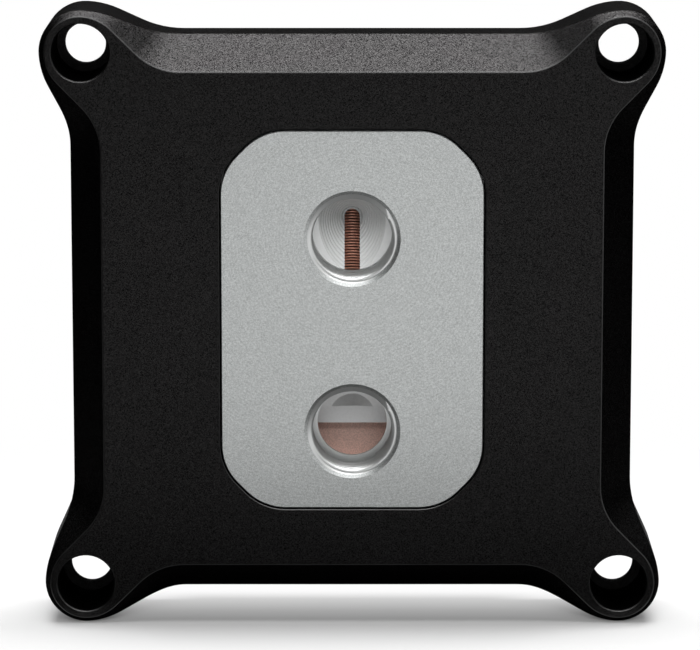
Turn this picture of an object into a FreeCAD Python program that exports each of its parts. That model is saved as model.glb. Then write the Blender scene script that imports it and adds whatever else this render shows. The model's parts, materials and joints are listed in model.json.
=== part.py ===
import FreeCAD, Part
import math
import os
import Sketcher

# Liquid cooling cold plate: a black frame with bevelled flanks holds a port block, which
# closes a finned copper base. The plate is drawn lying on its contact face, with the ports
# up, and every piece is then placed upright on the two lower bosses of the frame.

doc = FreeCAD.newDocument("cold_plate_part")

# Driving sizes

SIZES = {
    # frame outline: flanks, arms and corner bosses
    "hole_pitch": 78.0,
    "flank_overhang": 2.0,
    "flank_end": 14.4,
    "flank_fillet": 14.7,
    "arm_angle": 24.5,
    "shoulder_radius": 12.8,
    "boss_wall": 1.85,
    # front face outline, where the bevel starts
    "bevel_width": 4.8,
    "face_flank_end": 14.4,
    "face_fillet": 9.2,
    "face_arm_angle": 44.5,
    "face_shoulder_radius": 6.4,
    "face_boss_setback": 0.82,
    "bevel_angle": 33.3,
    # levels over the contact face
    "part_height": 19.0,
    "contact_standoff": 4.2,
    "plate_thickness": 5.5,
    "base_thickness": 3.0,
    "flange_thickness": 5.0,
    "chamber_height": 5.5,
    "block_recess": 0.12,
    # mounting holes
    "mount_hole_diameter": 6.0,
    "seat_width": 1.15,
    "seat_thickness": 2.0,
    "rim_chamfer": 0.2,
    "edge_break": 0.12,
    # walls of the frame round the flange of the port block
    "frame_side_wall": 5.8,
    "frame_end_wall": 7.8,
    "flange_corner": 4.0,
    "recess_gap": 0.2,
    # port block on its flange
    "flange_side_ledge": 16.0,
    "flange_end_ledge": 5.3,
    "block_corner_cut": 6.0,
    "block_corner_radius": 8.0,
    "window_gap": 0.22,
    # ports, each from its own end of the block
    "inlet_edge": 15.7,
    "outlet_edge": 11.4,
    "port_thread_diameter": 13.16,
    "port_mouth_width": 0.42,
    "port_mouth_angle": 60.0,
    "port_foot_thickness": 0.48,
    "inlet_lip_width": 0.78,
    "outlet_lip_width": 1.48,
    # copper base, inside the flange's edge
    "plate_side_inset": 7.0,
    "plate_end_inset": 0.2,
    "plate_corner": 3.0,
    # chamber under the ports, inside the copper's edge
    "chamber_side_wall": 10.4,
    "chamber_upper_wall": 13.8,
    "chamber_lower_wall": 9.1,
    "chamber_corner": 3.0,
    # fins
    "fin_thickness": 0.2,
    "fin_pitch": 0.42,
    "fin_side_gap": 4.6,
    "fin_end_gap": 3.0,
    "fin_groove_radius": 1.5,
    "fin_groove_depth": 0.8,
    # jet plate
    "jet_side_gap": 3.4,
    "jet_end_gap": 0.2,
    "jet_edge_overhang": 1.2,
    "slot_width": 2.26,
    "slot_reach": 2.6,
    "slot_outlet_gap": 10.1,
    "slot_land": 0.32,
    "web_thickness": 1.2,
    "funnel_width": 9.8,
    "funnel_reach": 7.9,
    "funnel_tip_radius": 2.0,
    "funnel_floor_reach": 1.9,
    "funnel_floor_tip_radius": 1.25,
    "relief_diameter": 10.8,
    "relief_length": 14.0,
    "relief_floor": 2.3,
    "relief_step_setback": 1.45,
    "dimple_setback": 2.0,
    "dimple_depth": 0.65,
    "dimple_angle": 74.0,
    # seal
    "seal_gap": 1.7,
    "seal_groove_width": 1.8,
    "seal_groove_depth": 1.2,
    "seal_play": 0.15,
    "seal_round": 0.45,
    # screws, and their distance from the edge of what they clamp
    "screw_diameter": 3.0,
    "screw_head_diameter": 5.5,
    "screw_hex": 2.0,
    "screw_hex_depth": 1.1,
    "screw_clearance": 0.2,
    "thread_clearance": 0.03,
    "screw_tip_gap": 0.9,
    "screw_side_edge": 3.7,
    "screw_end_edge": 3.2,
    "frame_screw_side_edge": 3.4,
    "frame_screw_end_edge": 11.0,
    "frame_screw_length": 9.0,
}

# Sizes that follow from them, from the frame inwards

FITS = {
    "frame_width": "hole_pitch + 2 * flank_overhang",
    "counterbore_diameter": "mount_hole_diameter + 2 * seat_width",
    "boss_radius": "counterbore_diameter / 2 + boss_wall",
    "face_boss_radius": "boss_radius - face_boss_setback",
    "flank_length": "hole_pitch - 2 * flank_end",
    "face_width": "frame_width - 2 * bevel_width",
    "face_flank_length": "hole_pitch - 2 * face_flank_end",
    "frame_thickness": "part_height - contact_standoff",
    "counterbore_depth": "frame_thickness - seat_thickness",
    "flange_width": "frame_width - 2 * frame_side_wall - 2 * recess_gap",
    "flange_length": "frame_width - 2 * frame_end_wall - 2 * recess_gap",
    "block_width": "flange_width - 2 * flange_side_ledge",
    "block_length": "flange_length - 2 * flange_end_ledge",
    "inlet_offset": "block_length / 2 - inlet_edge",
    "outlet_offset": "block_length / 2 - outlet_edge",
    "port_mouth_diameter": "port_thread_diameter + 2 * port_mouth_width",
    "inlet_lip_diameter": "port_thread_diameter - 2 * inlet_lip_width",
    "outlet_lip_diameter": "port_thread_diameter - 2 * outlet_lip_width",
    "port_depth": "part_height - block_recess - plate_thickness - chamber_height"
                  " - port_foot_thickness",
    "plate_width": "flange_width - 2 * plate_side_inset",
    "plate_length": "flange_length - 2 * plate_end_inset",
    "chamber_width": "plate_width - 2 * chamber_side_wall",
    "chamber_upper": "plate_length / 2 - chamber_upper_wall",
    "chamber_lower": "plate_length / 2 - chamber_lower_wall",
    "fin_length": "chamber_width - 2 * fin_side_gap",
    "fin_count": "floor(2 * (chamber_upper - fin_end_gap) / fin_pitch) + 1",
    "jet_plate_width": "chamber_width - 2 * jet_side_gap",
    "jet_plate_upper": "chamber_upper - jet_end_gap",
    "jet_plate_edge": "outlet_offset + jet_edge_overhang",
    "slot_upper": "inlet_offset + slot_reach",
    "slot_lower": "outlet_offset - slot_outlet_gap",
    "dimple_diameter": "relief_diameter - 2 * dimple_setback",
    "relief_step": "outlet_offset - relief_step_setback",
    "screw_length": "plate_thickness + flange_thickness - screw_tip_gap",
    "screw_column": "plate_width / 2 - screw_side_edge",
    "screw_row": "plate_length / 2 - screw_end_edge",
    "frame_screw_column": "flange_width / 2 - frame_screw_side_edge",
    "frame_screw_row": "flange_length / 2 - frame_screw_end_edge",
}

sheet = doc.addObject("Spreadsheet::Sheet", "Sizes")
FORMULAS = {alias: "=" + formula for alias, formula in FITS.items()}
for row, (alias, content) in enumerate({**SIZES, **FORMULAS}.items(), start=1):
    sheet.set("A%d" % row, alias)
    sheet.set("B%d" % row, str(content))
    sheet.setAlias("B%d" % row, alias)
    doc.recompute()

# The same sizes as plain numbers, for where each sketch starts

size = {alias: float(sheet.get(alias)) for alias in (*SIZES, *FITS)}

# Shorthands for sketches

START, END, CENTRE = range(1, 4)
ORIGIN = (-1, 1)


def vec(x, y):
    return FreeCAD.Vector(x, y, 0)


def plane_of(body, role):
    return [f for f in body.Origin.OriginFeatures if f.Role == role][0]


def new_sketch(body, name, level="0", role="XY_Plane"):
    sketch = body.newObject("Sketcher::SketchObject", name)
    sketch.AttachmentSupport = (plane_of(body, role), "")
    sketch.MapMode = "FlatFace"
    sketch.setExpression("AttachmentOffset.Base.z", level)
    return sketch


def line(sketch, start, end):
    return sketch.addGeometry(Part.LineSegment(vec(*start), vec(*end)), False)


def arc(sketch, centre, radius, first, last):
    circle = Part.Circle(vec(*centre), FreeCAD.Vector(0, 0, 1), radius)
    return sketch.addGeometry(
        Part.ArcOfCircle(circle, math.radians(first), math.radians(last)), False)


def rule(sketch, kind, *args):
    return sketch.addConstraint(Sketcher.Constraint(kind, *args))


def drive(sketch, expression, kind, *args):
    index = sketch.addConstraint(Sketcher.Constraint(kind, *args))
    sketch.setExpression("Constraints[%d]" % index, expression)
    return index


def feature(body, kind, name, profile):
    item = body.newObject("PartDesign::" + kind, name)
    item.Profile = profile
    item.Refine = False
    return item


def pad(body, name, profile, length, taper=None, downward=False):
    item = feature(body, "Pad", name, profile)
    item.Reversed = downward
    item.setExpression("Length", length)
    if taper:
        item.setExpression("TaperAngle", taper)
    doc.recompute()
    return item


def pocket(body, name, profile, length, upward=False, taper=None):
    before = body.Shape.Volume
    item = feature(body, "Pocket", name, profile)
    item.Reversed = upward
    item.setExpression("Length", length)
    if taper:
        item.setExpression("TaperAngle", taper)
    doc.recompute()
    if not body.Shape.Volume < before:
        raise RuntimeError(name + " cuts nothing")
    return item


def break_edges(body, name, base, lowest, highest):
    rim = []
    for index, edge in enumerate(base.Shape.Edges, start=1):
        box = edge.BoundBox
        level = lowest - 0.01 < box.ZMin and box.ZMax < highest + 0.01
        upright = max(box.XLength, box.YLength) < 0.01
        if level and not upright and min(box.XMax, box.YMax) > 0.01:
            rim.append("Edge%d" % index)
    item = body.newObject("PartDesign::Chamfer", name)
    item.Base = (base, rim)
    item.setExpression("Size", "Sizes.edge_break")
    body.Tip = item
    doc.recompute()


def mirror_quarter(body):
    for role, name in (("YZ_Plane", "mirror_across"), ("XZ_Plane", "mirror_along")):
        item = body.newObject("PartDesign::Mirrored", body.Name + "_" + name)
        item.TransformMode = "Whole shape"
        item.MirrorPlane = (plane_of(body, role), [""])
        item.Refine = True
        body.Tip = item
        doc.recompute()


# Sketch of one quarter of the frame's outline: flank, hollow fillet, arm, shoulder and boss,
# the same about the diagonal


def outline_quarter(body, name, level, width, flank, fillet, angle, shoulder, boss):
    half = size[width] / 2
    straight = size[flank] / 2
    hollow = size[fillet]
    turn = math.radians(size[angle])
    arm_turn = size[angle]
    round_big = size[shoulder]
    round_boss = size[boss]
    hole = size["hole_pitch"] / 2
    foot = (half + hollow * (1 - math.cos(turn)), straight + hollow * math.sin(turn))
    neck = hole - (round_big - round_boss)
    knee = (neck + round_big * math.cos(turn), hole - round_big * math.sin(turn))
    sketch = new_sketch(body, name, level)
    base = line(sketch, (0, 0), (half, 0))
    flank_right = line(sketch, (half, 0), (half, straight))
    hollow_right = arc(sketch, (half + hollow, straight), hollow, 180 - arm_turn, 180)
    arm_right = line(sketch, foot, knee)
    shoulder_right = arc(sketch, (neck, hole), round_big, -arm_turn, 0)
    boss_arc = arc(sketch, (hole, hole), round_boss, 0, 90)
    shoulder_up = arc(sketch, (hole, neck), round_big, 90, 90 + arm_turn)
    arm_up = line(sketch, foot[::-1], knee[::-1])
    hollow_up = arc(sketch, (straight, half + hollow), hollow, -90, -90 + arm_turn)
    flank_up = line(sketch, (0, half), (straight, half))
    left = line(sketch, (0, 0), (0, half))
    rule(sketch, "Coincident", base, START, *ORIGIN)
    rule(sketch, "Coincident", left, START, *ORIGIN)
    rule(sketch, "Coincident", base, END, flank_right, START)
    rule(sketch, "Coincident", left, END, flank_up, START)
    rule(sketch, "Horizontal", base)
    rule(sketch, "Vertical", left)
    rule(sketch, "Vertical", flank_right)
    rule(sketch, "Horizontal", flank_up)
    rule(sketch, "Tangent", flank_right, END, hollow_right, END)
    rule(sketch, "Tangent", hollow_right, START, arm_right, START)
    rule(sketch, "Tangent", arm_right, END, shoulder_right, START)
    rule(sketch, "Tangent", shoulder_right, END, boss_arc, START)
    rule(sketch, "Tangent", boss_arc, END, shoulder_up, START)
    rule(sketch, "Tangent", shoulder_up, END, arm_up, END)
    rule(sketch, "Tangent", arm_up, START, hollow_up, END)
    rule(sketch, "Tangent", hollow_up, START, flank_up, END)
    rule(sketch, "Equal", base, left)
    rule(sketch, "Equal", flank_right, flank_up)
    rule(sketch, "Equal", hollow_right, hollow_up)
    rule(sketch, "Equal", shoulder_right, shoulder_up)
    drive(sketch, "Sizes.%s / 2" % width, "DistanceX", base, END, half)
    drive(sketch, "Sizes.%s / 2" % flank, "DistanceY", flank_right, END, straight)
    drive(sketch, "Sizes." + fillet, "Radius", hollow_right, hollow)
    drive(sketch, "Sizes." + shoulder, "Radius", shoulder_right, round_big)
    drive(sketch, "Sizes." + boss, "Radius", boss_arc, round_boss)
    drive(sketch, "Sizes.hole_pitch / 2", "DistanceX", boss_arc, CENTRE, hole)
    drive(sketch, "Sizes.hole_pitch / 2", "DistanceY", boss_arc, CENTRE, hole)
    drive(sketch, "90 deg - Sizes.%s * 1 deg" % angle, "Angle", arm_right,
          math.pi / 2 - turn)
    drive(sketch, "Sizes.%s * 1 deg" % angle, "Angle", arm_up, turn)
    return sketch


# Sketch of one quarter of a rectangle whose corner is cut at 45 degrees and rounded


def cut_corner_quarter(body, name, level, width, length, cut, radius):
    half_x = size["block_width"] / 2
    half_y = size["block_length"] / 2
    corner = size["block_corner_cut"]
    round_in = size["block_corner_radius"]
    reach = round_in * math.tan(math.pi / 8)
    slope = reach / math.sqrt(2)
    sketch = new_sketch(body, name, level)
    base = line(sketch, (0, 0), (half_x, 0))
    side = line(sketch, (half_x, 0), (half_x, half_y - corner - reach))
    lower = arc(sketch, (half_x - round_in, half_y - corner - reach), round_in, 0, 45)
    cut_line = line(sketch, (half_x - slope, half_y - corner + slope),
                    (half_x - corner + slope, half_y - slope))
    upper = arc(sketch, (half_x - corner - reach, half_y - round_in), round_in, 45, 90)
    top = line(sketch, (0, half_y), (half_x - corner - reach, half_y))
    left = line(sketch, (0, 0), (0, half_y))
    rule(sketch, "Coincident", base, START, *ORIGIN)
    rule(sketch, "Coincident", left, START, *ORIGIN)
    rule(sketch, "Coincident", base, END, side, START)
    rule(sketch, "Coincident", left, END, top, START)
    rule(sketch, "Horizontal", base)
    rule(sketch, "Vertical", left)
    rule(sketch, "Vertical", side)
    rule(sketch, "Horizontal", top)
    rule(sketch, "Tangent", side, END, lower, START)
    rule(sketch, "Tangent", lower, END, cut_line, START)
    rule(sketch, "Tangent", cut_line, END, upper, START)
    rule(sketch, "Tangent", upper, END, top, END)
    rule(sketch, "Equal", lower, upper)
    rule(sketch, "Angle", cut_line, math.radians(135))
    drive(sketch, width, "DistanceX", base, END, half_x)
    drive(sketch, length, "DistanceY", left, END, half_y)
    drive(sketch, radius, "Radius", lower, round_in)
    # the straight part of the side ends where the corner's arc begins
    drive(sketch, "%s - (%s) - (%s) * tan(22.5 deg)" % (length, cut, radius),
          "DistanceY", side, END, half_y - corner - reach)
    return sketch


# Sketch of one quarter of a rounded rectangle


def round_quarter(body, name, level, width, length, radius, start):
    half_x, half_y, corner = start
    sketch = new_sketch(body, name, level)
    base = line(sketch, (0, 0), (half_x, 0))
    side = line(sketch, (half_x, 0), (half_x, half_y - corner))
    bend = arc(sketch, (half_x - corner, half_y - corner), corner, 0, 90)
    top = line(sketch, (0, half_y), (half_x - corner, half_y))
    left = line(sketch, (0, 0), (0, half_y))
    rule(sketch, "Coincident", base, START, *ORIGIN)
    rule(sketch, "Coincident", left, START, *ORIGIN)
    rule(sketch, "Coincident", base, END, side, START)
    rule(sketch, "Coincident", left, END, top, START)
    rule(sketch, "Horizontal", base)
    rule(sketch, "Vertical", left)
    rule(sketch, "Vertical", side)
    rule(sketch, "Horizontal", top)
    rule(sketch, "Tangent", side, END, bend, START)
    rule(sketch, "Tangent", bend, END, top, END)
    drive(sketch, width, "DistanceX", base, END, half_x)
    drive(sketch, length, "DistanceY", left, END, half_y)
    drive(sketch, radius, "Radius", bend, corner)
    return sketch


# Whole rounded rectangle, centred across the part, between two distances from its centre


def round_loop(sketch, width, upper, lower, radius, start):
    half_x, top_y, low_y, corner = start
    right = line(sketch, (half_x, -low_y + corner), (half_x, top_y - corner))
    bend_a = arc(sketch, (half_x - corner, top_y - corner), corner, 0, 90)
    top = line(sketch, (half_x - corner, top_y), (-half_x + corner, top_y))
    bend_b = arc(sketch, (-half_x + corner, top_y - corner), corner, 90, 180)
    left = line(sketch, (-half_x, top_y - corner), (-half_x, -low_y + corner))
    bend_c = arc(sketch, (-half_x + corner, -low_y + corner), corner, 180, 270)
    low = line(sketch, (-half_x + corner, -low_y), (half_x - corner, -low_y))
    bend_d = arc(sketch, (half_x - corner, -low_y + corner), corner, 270, 360)
    chain = (right, bend_a, top, bend_b, left, bend_c, low, bend_d)
    for item, follower in zip(chain, chain[1:] + chain[:1]):
        rule(sketch, "Tangent", item, END, follower, START)
    for bend in (bend_b, bend_c, bend_d):
        rule(sketch, "Equal", bend_a, bend)
    rule(sketch, "Vertical", right)
    rule(sketch, "Vertical", left)
    rule(sketch, "Horizontal", top)
    rule(sketch, "Horizontal", low)
    drive(sketch, width, "DistanceX", right, START, half_x)
    drive(sketch, width, "DistanceX", left, START, *ORIGIN, half_x)
    drive(sketch, upper, "DistanceY", top, START, top_y)
    drive(sketch, lower, "DistanceY", low, START, *ORIGIN, low_y)
    drive(sketch, radius, "Radius", bend_a, corner)


# Circle at named distances from the part's centre


def circle(sketch, radius, across=None, along=None, start=(0, 0, 1)):
    x, y, drawn = start
    index = sketch.addGeometry(
        Part.Circle(vec(x, y), FreeCAD.Vector(0, 0, 1), drawn), False)
    drive(sketch, radius, "Radius", index, drawn)
    if across is None:
        rule(sketch, "PointOnObject", index, CENTRE, -2)
    else:
        drive(sketch, across, "DistanceX", index, CENTRE, x)
    if along is None:
        rule(sketch, "PointOnObject", index, CENTRE, -1)
    elif y < 0:
        drive(sketch, along, "DistanceY", index, CENTRE, *ORIGIN, -y)
    else:
        drive(sketch, along, "DistanceY", index, CENTRE, y)
    return index


# Levels over the contact face, as the sketches use them

FRAME_REAR = "Sizes.contact_standoff"
BLOCK_TOP = "Sizes.part_height - Sizes.block_recess"
PLATE_TOP = "Sizes.plate_thickness"
FLANGE_TOP = "Sizes.plate_thickness + Sizes.flange_thickness"
CHAMBER_TOP = "Sizes.plate_thickness + Sizes.chamber_height"
PAST = "40"

# The three places of the cold plate's screws in one quarter: corner, flank and end

CORNER_SCREW = ("Sizes.screw_column", "Sizes.screw_row",
                size["screw_column"], size["screw_row"])
FLANK_SCREW = ("Sizes.screw_column", "Sizes.screw_row / 3",
               size["screw_column"], size["screw_row"] / 3)
FRAME_SCREW = ("Sizes.frame_screw_column", "Sizes.frame_screw_row",
               size["frame_screw_column"], size["frame_screw_row"])


# Form of the bevel: the front face outline widens by the bevel's angle until it passes the
# frame's flanks, and is square behind that

bevel_form = doc.addObject("PartDesign::Body", "bevel_form")
BEVEL_DEPTH = ("(Sizes.frame_width - Sizes.face_width) / 2 / tan(Sizes.bevel_angle * 1 deg)"
               " + 0.15")
face_sketch = outline_quarter(
    bevel_form, "face_outline", "Sizes.part_height", "face_width", "face_flank_length",
    "face_fillet", "face_arm_angle", "face_shoulder_radius", "face_boss_radius")
pad(bevel_form, "bevel_taper", face_sketch, BEVEL_DEPTH, "Sizes.bevel_angle * 1 deg", True)
rear_sketch = new_sketch(bevel_form, "rear_square", "Sizes.part_height - (%s)" % BEVEL_DEPTH)
round_size = size["hole_pitch"] / 2 + size["boss_radius"] + 5
rear_lines = [line(rear_sketch, (-5, -5), (round_size, -5)),
              line(rear_sketch, (round_size, -5), (round_size, round_size)),
              line(rear_sketch, (round_size, round_size), (-5, round_size)),
              line(rear_sketch, (-5, round_size), (-5, -5))]
for item, follower in zip(rear_lines, rear_lines[1:] + rear_lines[:1]):
    rule(rear_sketch, "Coincident", item, END, follower, START)
rule(rear_sketch, "Horizontal", rear_lines[0])
rule(rear_sketch, "Vertical", rear_lines[1])
rule(rear_sketch, "Horizontal", rear_lines[2])
rule(rear_sketch, "Vertical", rear_lines[3])
rule(rear_sketch, "DistanceX", rear_lines[0], START, -5)
rule(rear_sketch, "DistanceY", rear_lines[0], START, -5)
ROUND = "Sizes.hole_pitch / 2 + Sizes.boss_radius + 5"
drive(rear_sketch, ROUND, "DistanceX", rear_lines[1], END, round_size)
drive(rear_sketch, ROUND, "DistanceY", rear_lines[1], END, round_size)
pad(bevel_form, "rear_block", rear_sketch, "Sizes.part_height", downward=True)

# Frame, one quarter first: outline, bevel, window, broken edges, corner hole, recess and
# tapped hole

frame = doc.addObject("PartDesign::Body", "mounting_frame")
frame_sketch = outline_quarter(
    frame, "frame_outline", FRAME_REAR, "frame_width", "flank_length",
    "flank_fillet", "arm_angle", "shoulder_radius", "boss_radius")
pad(frame, "frame_block", frame_sketch, "Sizes.frame_thickness")
bevel = frame.newObject("PartDesign::Boolean", "bevel")
bevel.Type = "Common"
bevel.setObjects([bevel_form])
bevel.Refine = False
doc.recompute()
break_edges(frame, "flank_edges", bevel, size["contact_standoff"] + 0.1,
            size["part_height"] - 0.1)

window_sketch = cut_corner_quarter(
    frame, "window_outline", "Sizes.part_height",
    "Sizes.block_width / 2 + Sizes.window_gap",
    "Sizes.block_length / 2 + Sizes.window_gap",
    "Sizes.block_corner_cut + (2 - sqrt(2)) * Sizes.window_gap",
    "Sizes.block_corner_radius + Sizes.window_gap")
window = pocket(frame, "window", window_sketch, PAST)
break_edges(frame, "face_edges", window, size["part_height"], size["part_height"])

HOLE_PLACE = ("Sizes.hole_pitch / 2", "Sizes.hole_pitch / 2")
hole_at = (size["hole_pitch"] / 2, size["hole_pitch"] / 2)
counterbore_sketch = new_sketch(frame, "counterbore_circle", "Sizes.part_height")
circle(counterbore_sketch, "Sizes.counterbore_diameter / 2", *HOLE_PLACE,
       start=(*hole_at, size["counterbore_diameter"] / 2))
pocket(frame, "counterbore", counterbore_sketch, "Sizes.counterbore_depth")
rim_sketch = new_sketch(frame, "counterbore_rim", "Sizes.part_height")
circle(rim_sketch, "Sizes.counterbore_diameter / 2 + Sizes.rim_chamfer", *HOLE_PLACE,
       start=(*hole_at, size["counterbore_diameter"] / 2 + size["rim_chamfer"]))
pocket(frame, "counterbore_edge", rim_sketch, "Sizes.rim_chamfer", taper="-45 deg")
bolt_sketch = new_sketch(frame, "bolt_circle", "Sizes.part_height")
circle(bolt_sketch, "Sizes.mount_hole_diameter / 2", *HOLE_PLACE,
       start=(*hole_at, size["mount_hole_diameter"] / 2))
pocket(frame, "bolt_hole", bolt_sketch, PAST)

recess_sketch = round_quarter(
    frame, "recess_outline", FRAME_REAR,
    "Sizes.flange_width / 2 + Sizes.recess_gap",
    "Sizes.flange_length / 2 + Sizes.recess_gap",
    "Sizes.flange_corner + Sizes.recess_gap",
    (size["flange_width"] / 2, size["flange_length"] / 2, size["flange_corner"]))
pocket(frame, "recess", recess_sketch, "%s - (%s)" % (FLANGE_TOP, FRAME_REAR), upward=True)
frame_tap_sketch = new_sketch(frame, "frame_tap_circle", FLANGE_TOP)
circle(frame_tap_sketch, "Sizes.screw_diameter / 2 + Sizes.thread_clearance",
       *FRAME_SCREW[:2], start=(*FRAME_SCREW[2:], size["screw_diameter"] / 2))
pocket(frame, "frame_tap", frame_tap_sketch,
       "Sizes.frame_screw_length - Sizes.flange_thickness + Sizes.screw_clearance",
       upward=True)
mirror_quarter(frame)

# Port block: cut-corner block on a flange, with the tapped holes, one quarter first

block = doc.addObject("PartDesign::Body", "port_block")
block_sketch = cut_corner_quarter(
    block, "block_outline", PLATE_TOP, "Sizes.block_width / 2", "Sizes.block_length / 2",
    "Sizes.block_corner_cut", "Sizes.block_corner_radius")
block_body = pad(block, "block_body", block_sketch, "%s - %s" % (BLOCK_TOP, PLATE_TOP))
block_level = size["part_height"] - size["block_recess"]
break_edges(block, "block_edges", block_body, block_level, block_level)
flange_sketch = round_quarter(
    block, "flange_outline", PLATE_TOP, "Sizes.flange_width / 2", "Sizes.flange_length / 2",
    "Sizes.flange_corner",
    (size["flange_width"] / 2, size["flange_length"] / 2, size["flange_corner"]))
pad(block, "flange", flange_sketch, "Sizes.flange_thickness")
SHANK = "Sizes.screw_diameter / 2"
TAP = "Sizes.screw_diameter / 2 + Sizes.thread_clearance"
PASSAGE = "Sizes.screw_diameter / 2 + Sizes.screw_clearance"
SUNK = "Sizes.screw_head_diameter / 2 + Sizes.screw_clearance"
shank_size = size["screw_diameter"] / 2
head_size = size["screw_head_diameter"] / 2
tap_sketch = new_sketch(block, "tap_circles", PLATE_TOP)
circle(tap_sketch, TAP, *CORNER_SCREW[:2], start=(*CORNER_SCREW[2:], shank_size))
circle(tap_sketch, TAP, *FLANK_SCREW[:2], start=(*FLANK_SCREW[2:], shank_size))
pocket(block, "taps", tap_sketch,
       "Sizes.screw_length - Sizes.plate_thickness + Sizes.screw_clearance", upward=True)
end_tap_sketch = new_sketch(block, "end_tap_circle", PLATE_TOP)
circle(end_tap_sketch, TAP, None, "Sizes.screw_row",
       start=(0, size["screw_row"], shank_size))
pocket(block, "end_tap", end_tap_sketch,
       "Sizes.screw_length - Sizes.plate_thickness + Sizes.screw_clearance", upward=True)
sunk_sketch = new_sketch(block, "frame_screw_sink", PLATE_TOP)
circle(sunk_sketch, SUNK, *FRAME_SCREW[:2], start=(*FRAME_SCREW[2:], head_size))
pocket(block, "frame_screw_seat", sunk_sketch,
       "Sizes.screw_head_diameter / 2 - Sizes.screw_diameter / 2", upward=True,
       taper="-45 deg")
passage_sketch = new_sketch(block, "frame_screw_passage", PLATE_TOP)
circle(passage_sketch, PASSAGE, *FRAME_SCREW[:2], start=(*FRAME_SCREW[2:], shank_size))
pocket(block, "frame_screw_hole", passage_sketch, PAST, upward=True)
mirror_quarter(block)

# Port block, underside: chamber and seal groove

chamber_start = (size["chamber_width"] / 2, size["chamber_upper"],
                 size["chamber_lower"], size["chamber_corner"])


def chamber_loop(sketch, margin):
    round_loop(sketch, "Sizes.chamber_width / 2 + " + margin,
               "Sizes.chamber_upper + " + margin, "Sizes.chamber_lower + " + margin,
               "Sizes.chamber_corner + " + margin, chamber_start)


chamber_sketch = new_sketch(block, "chamber_outline", PLATE_TOP)
chamber_loop(chamber_sketch, "0")
pocket(block, "chamber", chamber_sketch, "Sizes.chamber_height", upward=True)
groove_sketch = new_sketch(block, "seal_groove_outline", PLATE_TOP)
chamber_loop(groove_sketch, "Sizes.seal_gap")
chamber_loop(groove_sketch, "Sizes.seal_gap + Sizes.seal_groove_width")
pocket(block, "seal_groove", groove_sketch, "Sizes.seal_groove_depth", upward=True)

# Port block, face: two threaded ports, each with a lip at its foot and a countersunk mouth

for port, place, along in (("inlet", "Sizes.inlet_offset", size["inlet_offset"]),
                           ("outlet", "Sizes.outlet_offset", -size["outlet_offset"])):
    bore_sketch = new_sketch(block, port + "_circle", BLOCK_TOP)
    circle(bore_sketch, "Sizes.port_thread_diameter / 2", None, place,
           start=(0, along, size["port_thread_diameter"] / 2))
    pocket(block, port + "_bore", bore_sketch, "Sizes.port_depth")
    lip_sketch = new_sketch(block, port + "_lip_circle", BLOCK_TOP)
    circle(lip_sketch, "Sizes.%s_lip_diameter / 2" % port, None, place,
           start=(0, along, size[port + "_lip_diameter"] / 2))
    pocket(block, port + "_lip", lip_sketch, "%s - (%s) + 0.5" % (BLOCK_TOP, CHAMBER_TOP))
    mouth_sketch = new_sketch(block, port + "_mouth_circle", BLOCK_TOP)
    circle(mouth_sketch, "Sizes.port_mouth_diameter / 2", None, place,
           start=(0, along, size["port_mouth_diameter"] / 2))
    pocket(block, port + "_mouth", mouth_sketch,
           "Sizes.port_mouth_width / tan(Sizes.port_mouth_angle * 1 deg)",
           taper="-Sizes.port_mouth_angle * 1 deg")

# Jet plate: funnel and slot under the inlet, relief with a dimple and a thin edge under the
# outlet

jet_plate = doc.addObject("PartDesign::Body", "jet_plate")


def box_loop(sketch, half_width, upper, lower, start):
    half_x, top_y, low_y = start
    sides = [line(sketch, (half_x, -low_y), (half_x, top_y)),
             line(sketch, (half_x, top_y), (-half_x, top_y)),
             line(sketch, (-half_x, top_y), (-half_x, -low_y)),
             line(sketch, (-half_x, -low_y), (half_x, -low_y))]
    for item, follower in zip(sides, sides[1:] + sides[:1]):
        rule(sketch, "Coincident", item, END, follower, START)
    rule(sketch, "Vertical", sides[0])
    rule(sketch, "Horizontal", sides[1])
    rule(sketch, "Vertical", sides[2])
    rule(sketch, "Horizontal", sides[3])
    drive(sketch, half_width, "DistanceX", sides[0], START, half_x)
    drive(sketch, half_width, "DistanceX", sides[2], START, *ORIGIN, half_x)
    if top_y < 0:
        drive(sketch, upper, "DistanceY", sides[1], START, *ORIGIN, -top_y)
    else:
        drive(sketch, upper, "DistanceY", sides[1], START, top_y)
    drive(sketch, lower, "DistanceY", sides[3], START, *ORIGIN, low_y)


def slot_loop(sketch, radius, drawn):
    upper = size["slot_upper"] - size["slot_width"] / 2
    lower = -(size["slot_lower"] - size["slot_width"] / 2)
    top = arc(sketch, (0, upper), drawn, 0, 180)
    left = line(sketch, (-drawn, upper), (-drawn, lower))
    low = arc(sketch, (0, lower), drawn, 180, 360)
    right = line(sketch, (drawn, lower), (drawn, upper))
    chain = (top, left, low, right)
    for item, follower in zip(chain, chain[1:] + chain[:1]):
        rule(sketch, "Tangent", item, END, follower, START)
    rule(sketch, "PointOnObject", top, CENTRE, -2)
    rule(sketch, "PointOnObject", low, CENTRE, -2)
    drive(sketch, "Sizes.slot_upper - Sizes.slot_width / 2", "DistanceY", top, CENTRE, upper)
    drive(sketch, "Sizes.slot_lower - Sizes.slot_width / 2", "DistanceY", low, CENTRE,
          *ORIGIN, -lower)
    drive(sketch, radius, "Radius", top, drawn)


# Egg about the slot's upper end: half a circle above, two long arcs and a tip below


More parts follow.
